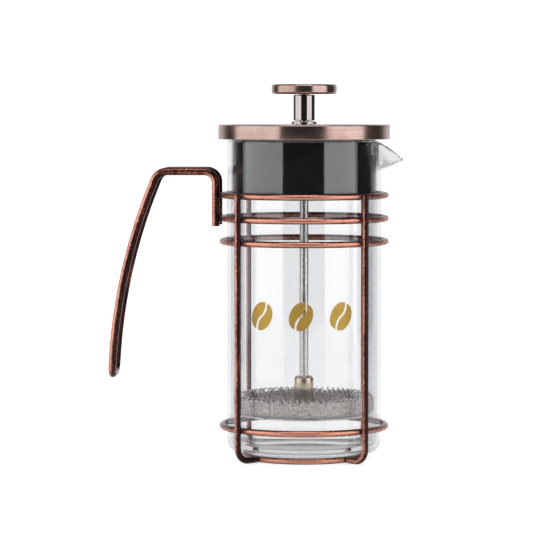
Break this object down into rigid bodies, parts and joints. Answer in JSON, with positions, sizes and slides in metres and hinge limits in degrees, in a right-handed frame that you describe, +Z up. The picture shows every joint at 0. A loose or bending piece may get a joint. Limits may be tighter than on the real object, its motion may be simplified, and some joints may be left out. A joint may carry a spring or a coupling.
{
  "type": "french press",
  "caption": "Glass beaker in a welded copper-finish wire frame with a looped wire handle, a metal lid with a plastic skirt, and a knob-topped filter plunger.",
  "frame": {"origin": "middle of the footprint box on the table plane; the press axis stands 22.2 mm from it towards the spout", "axes": "+Z up along the press axis, +X from the handle towards the spout, +Y towards the back when the handle is on the left"},
  "size_m": [0.1376, 0.08, 0.1743],
  "materials": {
    "antique_copper": "antique copper plating on steel wire, lightly brushed, dark in the recesses",
    "clear_glass": "clear polished borosilicate glass",
    "brushed_copper": "satin copper plating on sheet steel, brushed round the rim",
    "black_plastic": "gloss black polypropylene",
    "chrome": "mirror polish",
    "stainless_steel": "bright drawn stainless steel",
    "nickel": "nickel plating on brass, warm and slightly worn",
    "screen_mesh": "fine woven stainless steel mesh"
  },
  "bodies": {
    "frame": {"ring_top": "antique_copper", "ring_second": "antique_copper", "ring_third": "antique_copper", "ring_lower": "antique_copper", "base_ring": "antique_copper", "leg_front_left": "antique_copper", "leg_front_right": "antique_copper", "leg_rear_left": "antique_copper", "leg_rear_right": "antique_copper", "handle_loop": "antique_copper"},
    "beaker": {"glass_beaker": "clear_glass"},
    "bush": {"lid_ferrule": "chrome", "ferrule_nut": "stainless_steel"},
    "lid": {"lid_cap": "brushed_copper", "lid_skirt": "black_plastic"},
    "plunger": {"knob_disc": "brushed_copper", "knob_neck": "chrome", "plunger_rod": "stainless_steel", "rod_coupling": "nickel", "spring_plate": "stainless_steel", "edge_spring": "stainless_steel", "mesh_screen": "screen_mesh", "cross_plate": "stainless_steel", "clamp_stud": "stainless_steel", "filter_nut": "stainless_steel"}
  },
  "joints": [
    {"name": "beaker_lift", "type": "slide", "parent": "frame", "child": "beaker", "axis": [0, 0, 1], "range_m": [0, 0.15]},
    {"name": "lid_lift", "type": "slide", "parent": "beaker", "child": "bush", "axis": [0, 0, 1], "range_m": [0, 0.15]},
    {"name": "lid_turn", "type": "hinge", "parent": "bush", "child": "lid", "pos_m": [0.0222, 0, 0.15], "axis": [0, 0, 1], "continuous": true},
    {"name": "plunger_slide", "type": "slide", "parent": "bush", "child": "plunger", "axis": [0, 0, 1], "range_m": [0, 0.089]}
  ]
}
